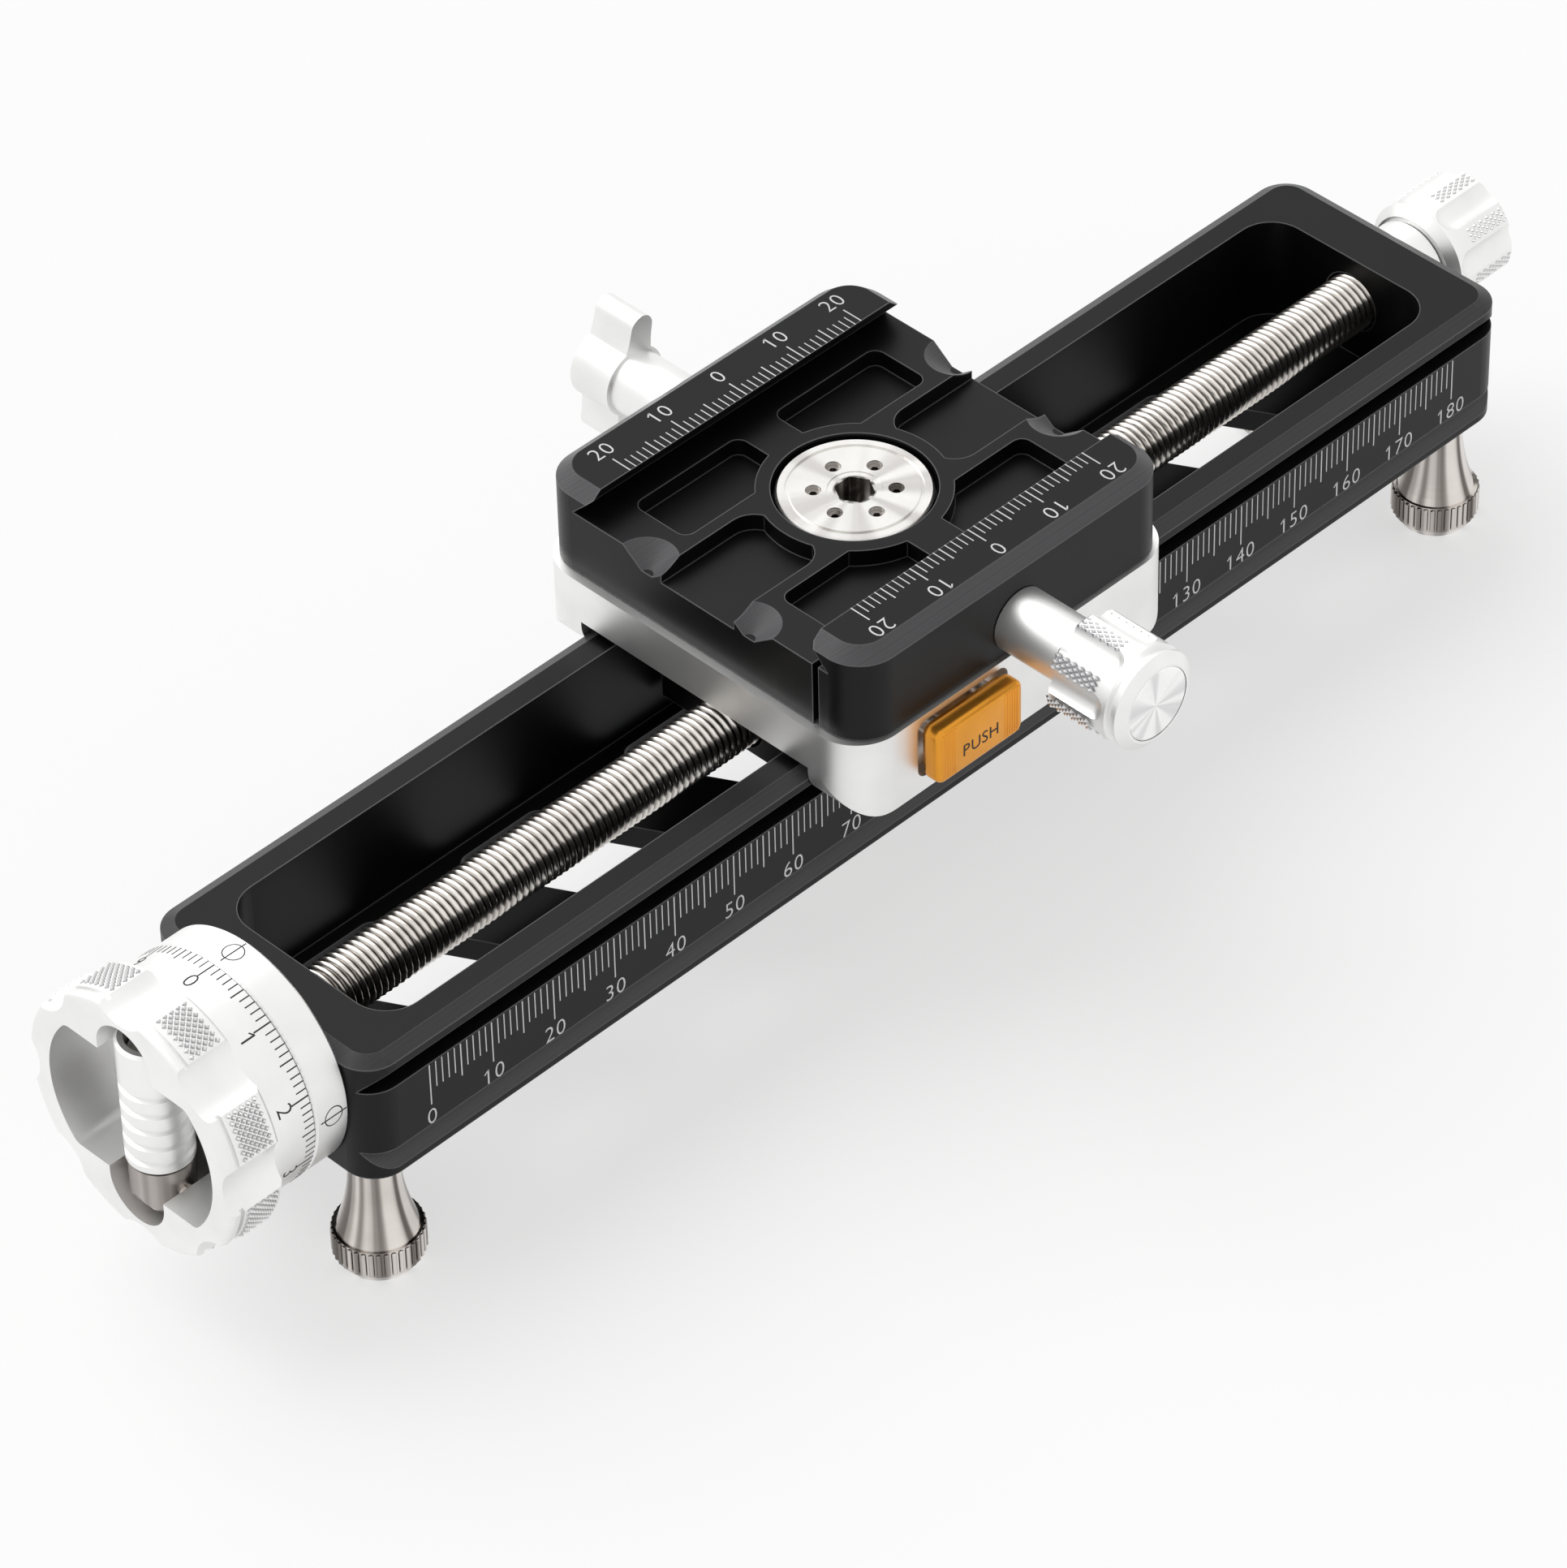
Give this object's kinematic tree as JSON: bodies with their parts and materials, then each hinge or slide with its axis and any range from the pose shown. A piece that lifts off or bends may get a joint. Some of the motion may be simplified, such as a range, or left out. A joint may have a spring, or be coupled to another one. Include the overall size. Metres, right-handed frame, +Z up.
{
  "type": "macro focusing rail",
  "caption": "Screw-driven focusing rail on screwed feet, with a quick-release carriage and a turning dovetail clamp for a camera.",
  "frame": {"origin": "middle of the rail's underside, at the mouth of the large tripod socket", "axes": "+X along the rail towards the rear knob, -Y towards the scale and the release button, +Z up"},
  "size_m": [0.2354, 0.0954, 0.0569],
  "materials": {
    "black_anodised": "black anodised, satin",
    "silver_satin": "silver anodised, fine satin",
    "stainless_steel": "turned stainless steel",
    "black_oxide_steel": "black oxide",
    "brass": "turned brass",
    "gold_anodised": "gold anodised, satin",
    "spring_steel": "drawn spring wire"
  },
  "bodies": {
    "rail": {"rail_body": "black_anodised", "index_collar": "silver_satin", "collar_screws": "black_oxide_steel", "front_bearing": "stainless_steel", "rear_bearing": "stainless_steel", "rear_bearing_cap": "silver_satin", "foot_front_left": "stainless_steel", "foot_front_right": "stainless_steel", "foot_rear_left": "stainless_steel", "foot_rear_right": "stainless_steel"},
    "spindle": {"lead_screw": "stainless_steel", "focus_knob": "silver_satin", "knob_fixing_screw": "black_oxide_steel", "crank_hinge_pin": "stainless_steel", "rear_knob": "silver_satin", "rear_knob_set_screw": "black_oxide_steel"},
    "crank": {"crank_arm": "stainless_steel", "crank_end_screw": "black_oxide_steel"},
    "sleeve": {"crank_sleeve": "silver_satin"},
    "carriage": {"saddle_plate": "silver_satin", "guide_rail_front": "silver_satin", "guide_rail_back": "silver_satin", "guide_rail_screws": "black_oxide_steel", "nut_housing": "black_anodised", "nut_housing_screws": "black_oxide_steel", "release_springs": "spring_steel", "pivot_disc": "silver_satin", "pivot_screw": "stainless_steel", "disc_screws": "stainless_steel", "pivot_washer": "stainless_steel"},
    "release": {"release_button": "gold_anodised", "release_rods": "stainless_steel", "release_nut": "brass"},
    "clamp": {"clamp_body": "black_anodised", "jaw_guide_pins": "stainless_steel", "jaw_springs": "spring_steel", "lock_bush": "brass", "lock_pad": "brass"},
    "wing": {"lock_wing": "silver_satin", "lock_screw": "stainless_steel"},
    "jaw": {"clamp_jaw": "black_anodised", "clamp_bush": "brass"},
    "jaw_knob": {"clamp_knob": "silver_satin", "clamp_screw": "stainless_steel", "clamp_knob_cap": "silver_satin"}
  },
  "joints": [
    {"name": "screw_turn", "type": "hinge", "parent": "rail", "child": "spindle", "pos_m": [0, 0, 0.0115], "axis": [1, 0, 0], "range_deg": [-24841, 17821]},
    {"name": "carriage_slide", "type": "slide", "parent": "rail", "child": "carriage", "axis": [1, 0, 0], "range_m": [-0.0495, 0.069]},
    {"name": "crank_fold", "type": "hinge", "parent": "spindle", "child": "crank", "pos_m": [-0.1158, 0, 0.0009], "axis": [0, -1, 0], "range_deg": [0, 90]},
    {"name": "crank_sleeve_spin", "type": "hinge", "parent": "crank", "child": "sleeve", "pos_m": [-0.1158, 0, 0.0115], "axis": [0, 0, 1], "continuous": true},
    {"name": "release_push", "type": "slide", "parent": "carriage", "child": "release", "axis": [0, 1, 0], "range_m": [0, 0.0016], "stiffness_N_per_m": 1200, "springref_m": -0.003},
    {"name": "clamp_turn", "type": "hinge", "parent": "carriage", "child": "clamp", "pos_m": [0.00045, 0, 0.0261], "axis": [0, 0, 1], "continuous": true},
    {"name": "lock_turn", "type": "hinge", "parent": "clamp", "child": "wing", "pos_m": [0.00045, 0.0275, 0.0305], "axis": [0, 1, 0], "range_deg": [-30, 330]},
    {"name": "jaw_slide", "type": "slide", "parent": "clamp", "child": "jaw", "axis": [0, -1, 0], "range_m": [-0.0008, 0.005]},
    {"name": "clamp_knob_turn", "type": "hinge", "parent": "jaw", "child": "jaw_knob", "pos_m": [0.00045, -0.0275, 0.0305], "axis": [0, -1, 0], "range_deg": [-289, 1801]}
  ],
  "couplings": [
    {"joint": "screw_turn", "follows": "carriage_slide", "rad_per_m": -6283.2},
    {"joint": "clamp_knob_turn", "follows": "jaw_slide", "rad_per_m": 6283.2}
  ]
}
